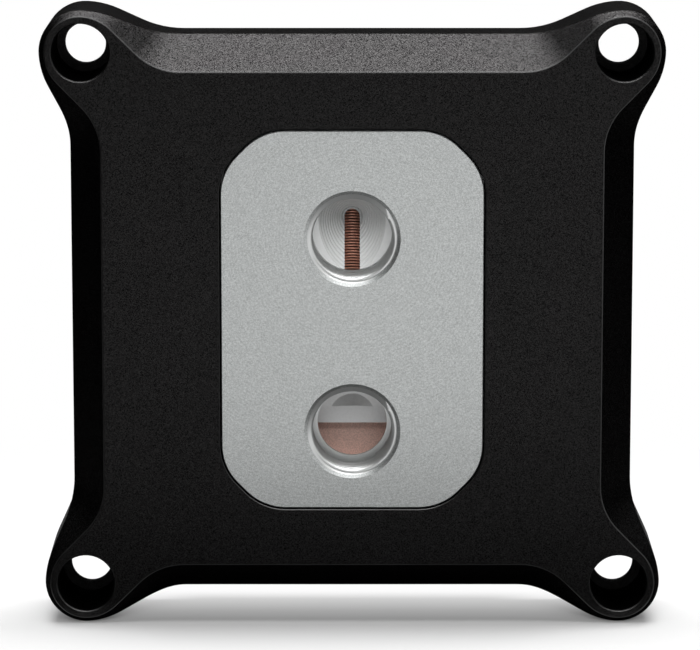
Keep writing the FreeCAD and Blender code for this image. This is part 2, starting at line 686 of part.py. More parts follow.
def egg_loop(sketch, half_width, reach, tip_radius, start):
    wide, far, tip = start
    middle = size["slot_upper"] - size["slot_width"] / 2
    drop = far - tip
    side = (wide ** 2 + drop ** 2 - tip ** 2) / (2 * (wide - tip))
    lean = math.degrees(math.atan2(drop, side - wide))
    crown = arc(sketch, (0, middle), wide, 0, 180)
    left = arc(sketch, (side - wide, middle), side, 180, 180 + lean)
    end = arc(sketch, (0, middle - drop), tip, 180 + lean, 360 - lean)
    right = arc(sketch, (wide - side, middle), side, 360 - lean, 360)
    chain = (crown, left, end, right)
    for item, follower in zip(chain, chain[1:] + chain[:1]):
        rule(sketch, "Tangent", item, END, follower, START)
    rule(sketch, "PointOnObject", crown, CENTRE, -2)
    rule(sketch, "PointOnObject", end, CENTRE, -2)
    rule(sketch, "Horizontal", left, CENTRE, crown, CENTRE)
    rule(sketch, "Equal", left, right)
    drive(sketch, "Sizes.slot_upper - Sizes.slot_width / 2", "DistanceY", crown, CENTRE,
          middle)
    drive(sketch, "(%s) - (%s)" % (reach, tip_radius), "DistanceY", end, CENTRE,
          crown, CENTRE, drop)
    drive(sketch, half_width, "Radius", crown, wide)
    drive(sketch, tip_radius, "Radius", end, tip)


jet_sketch = new_sketch(jet_plate, "jet_plate_outline", PLATE_TOP)
box_loop(jet_sketch, "Sizes.jet_plate_width / 2", "Sizes.jet_plate_upper",
         "Sizes.jet_plate_edge",
         (size["jet_plate_width"] / 2, size["jet_plate_upper"], size["jet_plate_edge"]))
pad(jet_plate, "jet_plate_body", jet_sketch, "Sizes.chamber_height")
funnel_sketch = new_sketch(jet_plate, "funnel_outline", CHAMBER_TOP)
egg_loop(funnel_sketch, "Sizes.funnel_width / 2", "Sizes.funnel_reach",
         "Sizes.funnel_tip_radius",
         (size["funnel_width"] / 2, size["funnel_reach"], size["funnel_tip_radius"]))
floor_sketch = new_sketch(jet_plate, "funnel_floor",
                          "Sizes.plate_thickness + Sizes.web_thickness")
egg_loop(floor_sketch, "Sizes.slot_width / 2 + Sizes.slot_land", "Sizes.funnel_floor_reach",
         "Sizes.funnel_floor_tip_radius",
         (size["slot_width"] / 2 + size["slot_land"], size["funnel_floor_reach"],
          size["funnel_floor_tip_radius"]))
whole = jet_plate.Shape.Volume
funnel = feature(jet_plate, "SubtractiveLoft", "funnel", funnel_sketch)
funnel.Sections = [floor_sketch]
funnel.Ruled = True
doc.recompute()
if not jet_plate.Shape.Volume < whole:
    raise RuntimeError("funnel cuts nothing")
slot_sketch = new_sketch(jet_plate, "slot_outline", CHAMBER_TOP)
slot_loop(slot_sketch, "Sizes.slot_width / 2", size["slot_width"] / 2)
pocket(jet_plate, "slot", slot_sketch, PAST)
relief_sketch = new_sketch(jet_plate, "relief_circle", CHAMBER_TOP)
circle(relief_sketch, "Sizes.relief_diameter / 2", None, "Sizes.outlet_offset",
       start=(0, -size["outlet_offset"], size["relief_diameter"] / 2))
pocket(jet_plate, "relief", relief_sketch, "Sizes.chamber_height - Sizes.relief_floor")
DIMPLE_TOP = "Sizes.plate_thickness + Sizes.relief_floor"
dimple_sketch = new_sketch(jet_plate, "dimple_circle", DIMPLE_TOP)
circle(dimple_sketch, "Sizes.dimple_diameter / 2", None, "Sizes.outlet_offset",
       start=(0, -size["outlet_offset"], size["dimple_diameter"] / 2))
pocket(jet_plate, "dimple", dimple_sketch, "Sizes.dimple_depth",
       taper="-Sizes.dimple_angle * 1 deg")
edge_sketch = new_sketch(jet_plate, "edge_outline", CHAMBER_TOP)
box_loop(edge_sketch, "Sizes.relief_length / 2", "Sizes.relief_step",
         "Sizes.jet_plate_edge + 1",
         (size["relief_length"] / 2, -size["relief_step"], size["jet_plate_edge"] + 1))
pocket(jet_plate, "thin_edge", edge_sketch, "Sizes.chamber_height - Sizes.web_thickness")

# Copper base: screw holes in one quarter, then channel and fins

plate = doc.addObject("PartDesign::Body", "cold_plate")
plate_sketch = round_quarter(
    plate, "plate_outline", "0", "Sizes.plate_width / 2", "Sizes.plate_length / 2",
    "Sizes.plate_corner",
    (size["plate_width"] / 2, size["plate_length"] / 2, size["plate_corner"]))
pad(plate, "plate_body", plate_sketch, "Sizes.plate_thickness")
for label, radius, drawn in (("sink", SUNK, head_size), ("hole", PASSAGE, shank_size)):
    side_sketch = new_sketch(plate, "screw_%s_circles" % label)
    circle(side_sketch, radius, *CORNER_SCREW[:2], start=(*CORNER_SCREW[2:], drawn))
    circle(side_sketch, radius, *FLANK_SCREW[:2], start=(*FLANK_SCREW[2:], drawn))
    end_sketch = new_sketch(plate, "end_screw_%s_circle" % label)
    circle(end_sketch, radius, None, "Sizes.screw_row", start=(0, size["screw_row"], drawn))
    for name, sketch in (("screw_", side_sketch), ("end_screw_", end_sketch)):
        if label == "sink":
            pocket(plate, name + label, sketch,
                   "Sizes.screw_head_diameter / 2 - Sizes.screw_diameter / 2", upward=True,
                   taper="-45 deg")
        else:
            pocket(plate, name + label, sketch, PAST, upward=True)
mirror_quarter(plate)
channel_sketch = new_sketch(plate, "channel_outline", PLATE_TOP)
chamber_loop(channel_sketch, "0")
pocket(plate, "channel", channel_sketch, "Sizes.plate_thickness - Sizes.base_thickness")

fin_start = -(size["fin_count"] - 1) / 2 * size["fin_pitch"]
fin_sketch = new_sketch(plate, "fin_outline",
                        "(Sizes.fin_count - 1) / 2 * Sizes.fin_pitch", "XZ_Plane")
fin_half = size["fin_length"] / 2
fin_foot = size["base_thickness"]
fin_tip = size["plate_thickness"]
groove_rise = size["fin_groove_radius"] - size["fin_groove_depth"]
groove_half = math.sqrt(size["fin_groove_radius"] ** 2 - groove_rise ** 2)
groove_turn = math.degrees(math.asin(groove_rise / size["fin_groove_radius"]))
foot_line = line(fin_sketch, (-fin_half, fin_foot), (fin_half, fin_foot))
right_line = line(fin_sketch, (fin_half, fin_foot), (fin_half, fin_tip))
right_top = line(fin_sketch, (fin_half, fin_tip), (groove_half, fin_tip))
groove_arc = arc(fin_sketch, (0, fin_tip + groove_rise), size["fin_groove_radius"],
                 180 + groove_turn, 360 - groove_turn)
left_top = line(fin_sketch, (-groove_half, fin_tip), (-fin_half, fin_tip))
left_line = line(fin_sketch, (-fin_half, fin_tip), (-fin_half, fin_foot))
rule(fin_sketch, "Coincident", foot_line, END, right_line, START)
rule(fin_sketch, "Coincident", right_line, END, right_top, START)
rule(fin_sketch, "Coincident", right_top, END, groove_arc, END)
rule(fin_sketch, "Coincident", groove_arc, START, left_top, START)
rule(fin_sketch, "Coincident", left_top, END, left_line, START)
rule(fin_sketch, "Coincident", left_line, END, foot_line, START)
rule(fin_sketch, "Horizontal", foot_line)
rule(fin_sketch, "Vertical", right_line)
rule(fin_sketch, "Horizontal", right_top)
rule(fin_sketch, "Horizontal", left_top)
rule(fin_sketch, "Vertical", left_line)
rule(fin_sketch, "PointOnObject", groove_arc, CENTRE, -2)
rule(fin_sketch, "PointOnObject", right_top, START, left_top)
drive(fin_sketch, "Sizes.fin_length / 2", "DistanceX", foot_line, END, fin_half)
drive(fin_sketch, "Sizes.fin_length / 2", "DistanceX", foot_line, START, *ORIGIN, fin_half)
drive(fin_sketch, "Sizes.base_thickness", "DistanceY", foot_line, END, fin_foot)
drive(fin_sketch, "Sizes.plate_thickness", "DistanceY", right_top, START, fin_tip)
drive(fin_sketch, "Sizes.fin_groove_radius", "Radius", groove_arc,
      size["fin_groove_radius"])
drive(fin_sketch,
      "Sizes.plate_thickness + Sizes.fin_groove_radius - Sizes.fin_groove_depth",
      "DistanceY", groove_arc, CENTRE, fin_tip + groove_rise)
fin = feature(plate, "Pad", "fin", fin_sketch)
fin.Midplane = True
fin.setExpression("Length", "Sizes.fin_thickness")
doc.recompute()
fins = plate.newObject("PartDesign::LinearPattern", "fins")
fins.Originals = [fin]
fins.Direction = (plane_of(plate, "Y_Axis"), [""])
fins.setExpression("Length", "(Sizes.fin_count - 1) * Sizes.fin_pitch")
fins.setExpression("Occurrences", "Sizes.fin_count")
fins.Refine = False
plate.Tip = fins
doc.recompute()

# Seal ring: the ring as it sits, flattened between the groove's floor and the copper

seal = doc.addObject("PartDesign::Body", "seal_ring")
seal_sketch = new_sketch(seal, "seal_outline", PLATE_TOP)
SEAL_OUTER = "Sizes.seal_gap + Sizes.seal_groove_width - Sizes.seal_play"
chamber_loop(seal_sketch, "Sizes.seal_gap + Sizes.seal_play")
chamber_loop(seal_sketch, SEAL_OUTER)
seal_body = pad(seal, "seal_body", seal_sketch, "Sizes.seal_groove_depth")
seal_edges = ["Edge%d" % (i + 1) for i, edge in enumerate(seal_body.Shape.Edges)
              if edge.BoundBox.ZLength < 0.01]
seal_round = seal.newObject("PartDesign::Fillet", "seal_rounding")
seal_round.Base = (seal_body, seal_edges)
seal_round.setExpression("Radius", "Sizes.seal_round")
seal.Tip = seal_round
doc.recompute()

# Countersunk screws, standing on their heads: profile turned about the axis, hex socket,
# then repeated in rows and columns


def screw_group(name, level, groups, length, body_level):
    body = doc.addObject("PartDesign::Body", name)
    body.AllowCompound = True
    for label, across, along, place, rows, columns in groups:
        x, y = place
        profile = new_sketch(body, label + "_profile", "-(%s)" % along, "XZ_Plane")
        tip = size[length]
        foot = body_level
        corners = [(x, foot), (x + head_size, foot), (x + shank_size, foot + head_size
                   - shank_size), (x + shank_size, foot + tip), (x, foot + tip)]
        sides = [line(profile, a, b) for a, b in zip(corners, corners[1:] + corners[:1])]
        for item, follower in zip(sides, sides[1:] + sides[:1]):
            rule(profile, "Coincident", item, END, follower, START)
        rule(profile, "Horizontal", sides[0])
        rule(profile, "Vertical", sides[2])
        rule(profile, "Horizontal", sides[3])
        rule(profile, "Vertical", sides[4])
        rule(profile, "Angle", sides[1], math.radians(135))
        if across:
            drive(profile, across, "DistanceX", sides[0], START, x)
        else:
            rule(profile, "PointOnObject", sides[0], START, -2)
        if foot:
            drive(profile, level, "DistanceY", sides[0], START, foot)
        else:
            rule(profile, "PointOnObject", sides[0], START, -1)
        drive(profile, "Sizes.screw_head_diameter / 2", "DistanceX", sides[0], START,
              sides[0], END, head_size)
        drive(profile, SHANK, "DistanceX", sides[3], END, sides[3], START, shank_size)
        drive(profile, "Sizes." + length, "DistanceY", sides[4], END, sides[4], START, tip)
        turned = feature(body, "Revolution", label + "_turned", profile)
        turned.ReferenceAxis = (profile, ["Edge5"])
        doc.recompute()
        socket_sketch = new_sketch(body, label + "_socket_hexagon", level)
        reach = size["screw_hex"] / math.sqrt(3)
        points = [(x + reach * math.cos(math.radians(60 * i)),
                   y + reach * math.sin(math.radians(60 * i))) for i in range(6)]
        hexagon = [line(socket_sketch, a, b) for a, b in zip(points, points[1:] + points[:1])]
        guide = socket_sketch.addGeometry(
            Part.Circle(vec(x, y), FreeCAD.Vector(0, 0, 1), reach), True)
        for item, follower in zip(hexagon, hexagon[1:] + hexagon[:1]):
            rule(socket_sketch, "Coincident", item, END, follower, START)
            rule(socket_sketch, "PointOnObject", item, START, guide)
        for item in hexagon[1:]:
            rule(socket_sketch, "Equal", hexagon[0], item)
        rule(socket_sketch, "Horizontal", hexagon[1])
        if across:
            drive(socket_sketch, across, "DistanceX", guide, CENTRE, x)
        else:
            rule(socket_sketch, "PointOnObject", guide, CENTRE, -2)
        drive(socket_sketch, along, "DistanceY", guide, CENTRE, y)
        drive(socket_sketch, "Sizes.screw_hex / sqrt(3)", "Radius", guide, reach)
        socket = pocket(body, label + "_socket", socket_sketch, "Sizes.screw_hex_depth",
                        upward=True)
        grid = body.newObject("PartDesign::LinearPattern", label + "_rows")
        grid.Originals = [turned, socket]
        grid.Direction = (plane_of(body, "Y_Axis"), [""])
        grid.Reversed = True
        grid.setExpression("Length", "2 * " + along)
        grid.Occurrences = rows
        if columns > 1:
            grid.Direction2 = (plane_of(body, "X_Axis"), [""])
            grid.Reversed2 = True
            grid.setExpression("Length2", "2 * " + across)
            grid.Occurrences2 = columns
        grid.Refine = False
        body.Tip = grid
        doc.recompute()
    return body


plate_screws = screw_group(
    "cold_plate_screws", "0",
    (("flank", *CORNER_SCREW[:2], CORNER_SCREW[2:], 4, 2),
     ("end", None, "Sizes.screw_row", (0, size["screw_row"]), 2, 1)),
    "screw_length", 0)
frame_screws = screw_group(
    "frame_screws", PLATE_TOP,
    (("corner", *FRAME_SCREW[:2], FRAME_SCREW[2:], 2, 2),),
    "frame_screw_length", size["plate_thickness"])

# Everything stands upright on the frame's two lower bosses, with the ports to the front

PIECES = [frame, block, jet_plate, plate, seal, plate_screws, frame_screws]
for body in PIECES:
    body.Placement = FreeCAD.Placement(
        FreeCAD.Vector(0, 0, 0), FreeCAD.Rotation(FreeCAD.Vector(1, 0, 0), 90))
    body.setExpression("Placement.Base.y", "Sizes.part_height / 2")
    body.setExpression("Placement.Base.z", "Sizes.hole_pitch / 2 + Sizes.boss_radius")
doc.recompute()

# Check the document, then write the files

for item in doc.Objects:
    if "Invalid" in item.State or "Error" in item.State:
        raise RuntimeError("%s is %s" % (item.Name, item.State))
for body in PIECES:
    shape = body.Shape
    if shape.isNull() or not shape.isValid():
        raise RuntimeError(body.Label + " has no valid shape")

os.makedirs("parts", exist_ok=True)
for body in PIECES:
    body.Shape.exportStep("parts/%s.step" % body.Label)
    box = body.Shape.BoundBox
    print("%-18s solids %2d  faces %4d  volume %8.0f  x %.2f %.2f  y %.2f %.2f  z %.2f %.2f" % (
        body.Label, len(body.Shape.Solids), len(body.Shape.Faces), body.Shape.Volume,
        box.XMin, box.XMax, box.YMin, box.YMax, box.ZMin, box.ZMax))
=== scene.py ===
# %% [markdown]
# # A liquid cooling cold plate, dressed for its picture
#
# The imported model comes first, and everything else is measured from it. Every CAD node of
# this object already has its true shape, so none is replaced: the work here is finishes,
# the screw threads inside the two ports, the light and the camera.

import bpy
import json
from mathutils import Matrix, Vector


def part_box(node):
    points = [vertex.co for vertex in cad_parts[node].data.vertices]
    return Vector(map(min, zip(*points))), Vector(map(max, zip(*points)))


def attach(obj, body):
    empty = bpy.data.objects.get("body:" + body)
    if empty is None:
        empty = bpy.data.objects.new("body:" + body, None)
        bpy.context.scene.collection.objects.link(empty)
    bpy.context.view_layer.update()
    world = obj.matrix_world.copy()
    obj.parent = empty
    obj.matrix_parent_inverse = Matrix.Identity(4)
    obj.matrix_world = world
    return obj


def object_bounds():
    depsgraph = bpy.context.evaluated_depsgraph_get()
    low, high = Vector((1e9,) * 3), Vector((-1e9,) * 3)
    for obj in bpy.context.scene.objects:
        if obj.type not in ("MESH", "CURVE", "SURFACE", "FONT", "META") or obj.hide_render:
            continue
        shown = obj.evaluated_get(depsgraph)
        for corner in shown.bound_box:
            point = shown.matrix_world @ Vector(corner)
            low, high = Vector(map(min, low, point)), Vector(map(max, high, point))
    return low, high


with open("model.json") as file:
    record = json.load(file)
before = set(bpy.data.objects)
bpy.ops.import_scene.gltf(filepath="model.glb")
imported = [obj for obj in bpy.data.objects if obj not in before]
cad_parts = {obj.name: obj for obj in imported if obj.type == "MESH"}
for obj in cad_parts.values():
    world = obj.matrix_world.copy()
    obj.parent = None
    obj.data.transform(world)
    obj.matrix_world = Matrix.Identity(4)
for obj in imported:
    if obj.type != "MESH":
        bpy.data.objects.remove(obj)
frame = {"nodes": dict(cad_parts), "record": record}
cad_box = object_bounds()
print("nodes:", sorted(frame["nodes"]))

# %% Tools used in every cell
import json
import math

import bpy
from mathutils import Vector

MM = 0.001
scene = bpy.context.scene
nodes = frame["nodes"]
low, high = cad_box
print("wide, deep and tall, mm:", [round((b - a) / MM, 2) for a, b in zip(low, high)])

# %% [markdown]
# ## Where things are on the object
#
# The two ports are drilled from the front, along +Y. Their places come from the record's
# mounts, and the levels from the boxes of the nodes, so nothing here repeats a number that
# the model already holds. The copper's own box gives the depth at which its fins start.

# %% Ports, levels and centre lines
mounts = {m["name"]: m for m in frame["record"]["mounts"]}
inlet = Vector(mounts["inlet_port"]["pos_m"])
outlet = Vector(mounts["outlet_port"]["pos_m"])
port_radius = mounts["inlet_port"]["dims"]["r_mm"] * MM
port_length = mounts["inlet_port"]["dims"]["length_mm"] * MM
frame_low, frame_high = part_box("mounting_frame")
block_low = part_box("port_block")[0]
jet_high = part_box("jet_plate")[1]
copper_low, copper_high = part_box("cold_plate")
centre = Vector((0, 0, (frame_low.z + frame_high.z) / 2))
print("inlet axis z", round(inlet.z / MM, 2), "outlet axis z", round(outlet.z / MM, 2), "mm")
print("port radius", round(port_radius / MM, 2), "length", round(port_length / MM, 2), "mm")
print("block face at y", round(block_low.y / MM, 2), "mm")

# %% [markdown]
# ## A small kit for finishes
#
# Every finish here is made of metal or rubber with something fine on it: the grain of bead
# blasting, the rings of a turning tool, the steps of a milling cutter. A picture could be
# wrapped on the surface instead, but noise and waves read in the object's own metres stay
# sharp at any distance and never show a seam, so each finish is a small tree of nodes.
# The first class has the short words that every tree needs, also those of the threads and
# of the floor. The second one adds what only a metal or rubber finish has.

# %% Helpers for trees of nodes
class Wiring:
    """Short ways to add nodes to a tree and to join them."""

    def __init__(self, tree):
        self.tree = tree

    def node(self, kind, **settings):
        made = self.tree.nodes.new(kind)
        for key, value in settings.items():
            setattr(made, key, value)
        return made

    def link(self, source, socket):
        self.tree.links.new(source, socket)

    def feed(self, value, socket):
        """Set a socket to a number, or join another node's output to it."""
        if isinstance(value, (int, float)):
            socket.default_value = value
        else:
            self.link(value, socket)

    def math(self, operation, *values):
        made = self.node("ShaderNodeMath", operation=operation)
        for socket, value in zip(made.inputs, values):
            self.feed(value, socket)
        return made.outputs[0]

    def ramp(self, value, start, end, low=0.0, high=1.0):
        made = self.node("ShaderNodeMapRange", interpolation_type="SMOOTHSTEP")
        for name, given in (("Value", value), ("From Min", start), ("From Max", end),
                            ("To Min", low), ("To Max", high)):
            self.feed(given, made.inputs[name])
        return made.outputs["Result"]

    def axes(self, place):
        made = self.node("ShaderNodeSeparateXYZ")
        self.link(place, made.inputs[0])
        return made.outputs


class Finish(Wiring):
    """One material of the object and the few nodes that it is wired from."""

    def __init__(self, name, metallic, roughness, colour):
        self.material = bpy.data.materials.new(name)
        self.material.use_nodes = True
        super().__init__(self.material.node_tree)
        self.shader = self.tree.nodes["Principled BSDF"]
        self.shader.inputs["Metallic"].default_value = metallic
        self.shader.inputs["Roughness"].default_value = roughness
        self.shader.inputs["Base Color"].default_value = (*colour, 1)
        self.place = self.node("ShaderNodeTexCoord").outputs["Object"]

    def grain(self, size, detail=2.0, roughness=0.5, place=None):
        """Cloudy noise whose lumps are about as wide as the given size."""
        made = self.node("ShaderNodeTexNoise")
        made.inputs["Scale"].default_value = 1 / size
        made.inputs["Detail"].default_value = detail
        made.inputs["Roughness"].default_value = roughness
        self.link(place or self.place, made.inputs["Vector"])
        return made.outputs["Fac"]

    def dents(self, size):
        """A different tone in each little cell, as blasting beads leave behind."""
        cells = self.node("ShaderNodeTexVoronoi")
        cells.inputs["Scale"].default_value = 1 / size
        self.link(self.place, cells.inputs["Vector"])
        tone = self.node("ShaderNodeSeparateColor")
        self.link(cells.outputs["Color"], tone.inputs["Color"])
        return tone.outputs["Red"]

    def mix(self, mask, low, high):
        """The first colour where the mask is 0, the second where it is 1."""
        made = self.node("ShaderNodeMix", data_type="RGBA")
        self.link(mask, made.inputs[0])
        for name, value in (("A", low), ("B", high)):
            socket = [s for s in made.inputs if s.name == name and s.type == "RGBA"][0]
            if isinstance(value, tuple):
                socket.default_value = (*value, 1)
            else:
                self.link(value, socket)
        return [s for s in made.outputs if s.type == "RGBA"][0]

    def bump(self, height, depth, strength=1.0, under=None):
        made = self.node("ShaderNodeBump")
        made.inputs["Strength"].default_value = strength
        made.inputs["Distance"].default_value = depth
        self.link(height, made.inputs["Height"])
        if under:
            self.link(under, made.inputs["Normal"])
        return made.outputs["Normal"]

    def set(self, socket, value):
        self.link(value, self.shader.inputs[socket])

    def put_on(self, node):
        nodes[node].data.materials.clear()
        nodes[node].data.materials.append(self.material)
        print(self.material.name, "on", node)


# %% [markdown]
# ## Black anodised aluminium
#
# The frame is milled, blasted with fine beads and dyed black in its oxide. The dye hides
# the metal, so the frame is far darker than any paint, and the only light that it gives
# back comes from thousands of tiny dents. Plain black plastic would shine at a low angle;
# this oxide doesn't, so the edge tint of the metal shader is set dark. The dents are cells
# of a tenth of a millimetre, each with a tone of its own, over a bump of the same size. A
# wide faint cloud under them stands for the dye, which never takes quite evenly. On the
# broken edges round the face the colour is paler: partly the oxide rubbed thin, partly a
# painted highlight for the light that these edges catch.

# %% Finish of the frame
BLASTED_GRAIN = 0.10 * MM
DYE_CLOUD = 9 * MM
CLOUD_SHARE = 0.08
EDGE_BREAK = 0.12 * MM
EDGE_BLUR = 0.01 * MM
black = Finish("black_anodised", 1.0, 0.38, (0.013, 0.013, 0.013))
black.shader.inputs["Specular Tint"].default_value = (0, 0, 0, 1)
speckle = black.dents(BLASTED_GRAIN)
cloud = black.grain(DYE_CLOUD, 1.0)
shade = black.math("ADD", black.math("MULTIPLY", cloud, CLOUD_SHARE),
                   black.math("MULTIPLY", speckle, 1 - CLOUD_SHARE))
dyed = black.mix(shade, (0.0010, 0.0010, 0.0011), (0.0330, 0.0322, 0.0322))
depth = black.axes(black.place)["Y"]
# the paler band on the broken edges is partly rubbed oxide, partly a painted highlight
break_end = frame_low.y + EDGE_BREAK
behind_face = black.ramp(depth, frame_low.y + EDGE_BLUR, frame_low.y + 3 * EDGE_BLUR)
before_end = black.ramp(depth, break_end - EDGE_BLUR, break_end + EDGE_BLUR, 1.0, 0.0)
thin_dye_and_edge_highlight = black.math("MULTIPLY", behind_face, before_end)
black.set("Base Color", black.mix(thin_dye_and_edge_highlight, dyed, (0.060, 0.060, 0.060)))
black.set("Roughness", black.ramp(speckle, 0.0, 1.0, 0.34, 0.42))
black.set("Normal", black.bump(black.grain(BLASTED_GRAIN, 1.0), 0.04 * MM, 0.8))
black.put_on("mounting_frame")

# %% [markdown]
# ## Blasted and turned silver
#
# The port block is nickel-plated brass. Its face was fly-cut, which leaves wide faint arcs,
# and then blasted, so both show: the arcs are a ring wave of low contrast under the grain.
# The ports were threaded after that with a sharp tool, so below the countersink the metal
# is smoother and brighter. A thread is full of tiny chatter marks that scatter some light,
# so a small part of its shader is left plain instead of metal. The two finishes meet at
# the foot of the countersink, so the depth along Y picks between them, and no second slot
# or cut in the mesh is needed.

# %% Finish of the port block
FLY_CUT_STEP = 0.5 * MM
ARC_SHARE = 0.12
MOUTH_FOOT = 0.25 * MM
TURNING_PITCH = 0.33 * MM
silver = Finish("blasted_silver", 1.0, 0.42, (0.42, 0.43, 0.43))
grit = silver.dents(BLASTED_GRAIN)
depth = silver.axes(silver.place)["Y"]
mouth_foot = block_low.y + MOUTH_FOOT
face = silver.ramp(depth, mouth_foot, mouth_foot + 0.04 * MM, 1.0, 0.0)
arcs = silver.node("ShaderNodeTexWave", wave_type="RINGS", rings_direction="Y")
arcs.inputs["Scale"].default_value = 2 * math.pi / (20 * FLY_CUT_STEP)
arcs.inputs["Distortion"].default_value = 2.5
arcs.inputs["Detail"].default_value = 1.0
arcs.inputs["Detail Scale"].default_value = 3
shift = silver.node("ShaderNodeMapping")
shift.inputs["Location"].default_value = (0, 0, -inlet.z)
silver.link(silver.place, shift.inputs["Vector"])
silver.link(shift.outputs[0], arcs.inputs["Vector"])
fly_cut = arcs.outputs["Fac"]
tone = silver.math("ADD", silver.math("MULTIPLY", grit, 1 - ARC_SHARE),
                   silver.math("MULTIPLY", fly_cut, ARC_SHARE))
blasted = silver.mix(tone, (0.375, 0.389, 0.385), (0.665, 0.683, 0.679))
turned = silver.mix(silver.grain(1.2 * MM), (0.64, 0.65, 0.645), (0.74, 0.75, 0.745))
silver.set("Base Color", silver.mix(face, turned, blasted))
silver.set("Roughness", silver.ramp(face, 0.0, 1.0, 0.38, 0.42))
silver.set("Metallic", silver.ramp(face, 0.0, 1.0, 0.92, 1.0))
tool_rings = silver.math("SINE", silver.math("MULTIPLY", depth, math.tau / TURNING_PITCH))
below_mouth = silver.math("SUBTRACT", 1.0, face)
ringed = silver.bump(silver.math("MULTIPLY", below_mouth, tool_rings), 0.006 * MM, 0.6)
pitted = silver.math("MULTIPLY", face, silver.grain(BLASTED_GRAIN, 1.0))
silver.set("Normal", silver.bump(pitted, 0.02 * MM, 0.45, ringed))
silver.put_on("port_block")

# %% [markdown]
# ## Milled silver
#
# The jet plate's funnel was cut by a ball cutter that went round the slot, a little deeper
# at each turn. That leaves level lines, like those on a map, round the funnel. They depend
# on depth alone, so a sine of the depth makes them, a little uneven as a cutter leaves them.
# The narrow land round the slot is given a much darker colour. The relief under the outlet,
# which the funnel's cutter never reached, is darker too: height picks the relief, depth the
# land.

# %% Finish of the jet plate
RELIEF_RADIUS = 5.4 * MM
SLOT_WEB = 1.2 * MM
CUTTER_STEP = 0.42 * MM
CUTTER_WANDER = 0.10 * MM
milled = Finish("milled_silver", 1.0, 0.30, (0.6, 0.6, 0.6))
across, depth, height = milled.axes(milled.place)
wander = milled.math("MULTIPLY", milled.grain(1.5 * MM), CUTTER_WANDER)
cutter_depth = milled.math("ADD", depth, wander)
steps = milled.math("SINE", milled.math("MULTIPLY", cutter_depth, math.tau / CUTTER_STEP))
relief_top = outlet.z + RELIEF_RADIUS
bright = milled.ramp(height, relief_top, relief_top + 0.4 * MM)
dull = milled.mix(milled.grain(0.4 * MM, 3.0), (0.76, 0.765, 0.765), (0.87, 0.875, 0.875))
shiny = milled.mix(milled.grain(0.5 * MM, 3.0), (0.90, 0.91, 0.905), (0.96, 0.97, 0.965))
land_depth = jet_high.y - SLOT_WEB
land = milled.ramp(depth, land_depth - 0.06 * MM, land_depth - 0.02 * MM)
inside = milled.mix(land, shiny, (0.36, 0.365, 0.365))
milled.set("Base Color", milled.mix(bright, dull, inside))
milled.set("Roughness", milled.ramp(bright, 0.0, 1.0, 0.45, 0.34))
milled.set("Metallic", milled.ramp(bright, 0.0, 1.0, 0.46, 0.28))
uneven = milled.bump(milled.grain(0.3 * MM), 0.01 * MM, 0.4)
funnel_steps = milled.math("MULTIPLY", steps, bright)
milled.set("Normal", milled.bump(funnel_steps, 0.035 * MM, 0.9, uneven))
milled.put_on("jet_plate")

# %% [markdown]
# ## Copper
#
# The base is bare copper. Its channel floor was blasted, so it looks pale and pink, and as
# a dull skin has formed inside, only a part of the light comes back as from metal. The fins
# were skived, which is a blade shaving them up one by one, so they are newly cut and redder,
# and light that bounces between them gets redder still. Their colour is also darker, a
# painted shade for the narrow gaps between them. Below the channel the outside is clean
# metal, and the contact face at the rear was lapped, which leaves short fine strokes. All
# four are told apart by depth alone.

# %% Finish of the copper base
CHANNEL_DEPTH = 2.5 * MM
COPPER_GRAIN = 0.16 * MM
STROKE_SHRINK = 0.04
copper = Finish("copper", 1.0, 0.38, (0.48, 0.32, 0.26))
depth = copper.axes(copper.place)["Y"]
dents = copper.grain(COPPER_GRAIN, 1.0)
lapped = copper.ramp(depth, copper_high.y - 0.06 * MM, copper_high.y - 0.02 * MM)
long_way = copper.node("ShaderNodeMapping")
long_way.inputs["Scale"].default_value = (1, 1, STROKE_SHRINK)
copper.link(copper.place, long_way.inputs["Vector"])
strokes = copper.grain(COPPER_GRAIN, 2.0, 0.6, long_way.outputs[0])
worn = copper.mix(copper.ramp(dents, 0.3, 0.7), (0.76, 0.520, 0.445), (0.99, 0.700, 0.610))
# the fins' own redder copper, darkened as a painted shade for the gaps between them
fin_tone_and_shade = copper.mix(copper.grain(0.8 * MM), (0.69, 0.340, 0.240), (0.81, 0.415, 0.300))
channel = copper_low.y + CHANNEL_DEPTH
floor_of_channel = copper.ramp(depth, channel - 0.10 * MM, channel - 0.04 * MM)
outside = copper.ramp(depth, channel + 0.10 * MM, channel + 0.20 * MM)
polished = copper.mix(strokes, (0.70, 0.41, 0.30), (0.80, 0.50, 0.38))
inner = copper.mix(floor_of_channel, fin_tone_and_shade, worn)
copper.set("Base Color", copper.mix(outside, inner, polished))
copper.set("Roughness", copper.ramp(lapped, 0.0, 1.0, 0.42, 0.24))
copper.set("Metallic", copper.ramp(outside, 0.0, 1.0, 0.28, 1.0))
unlapped = copper.math("SUBTRACT", 1.0, lapped)
marks = copper.math("ADD", copper.math("MULTIPLY", strokes, lapped),
                    copper.math("MULTIPLY", dents, unlapped))
copper.set("Normal", copper.bump(marks, 0.02 * MM, 0.4))
copper.put_on("cold_plate")

# %% [markdown]
# ## Rubber and screws
#
# The seal lies in its groove and is seen only when the plate is opened. The screws are
# turned steel: each head has rings round its own axis, but fourteen axes would need
# fourteen masks, and at a head of 5.5 mm a fine noise looks the same.

# %% Finishes of the seal and the screws
rubber = Finish("seal_rubber", 0.0, 0.62, (0.02, 0.02, 0.02))
rubber.shader.inputs["Specular IOR Level"].default_value = 0.35
rubber.set("Base Color", rubber.mix(rubber.grain(0.4 * MM, 3.0), (0.012, 0.012, 0.012),
                                    (0.026, 0.026, 0.026)))
rubber.set("Normal", rubber.bump(rubber.grain(0.12 * MM), 0.01 * MM, 0.4))
rubber.put_on("seal_ring")

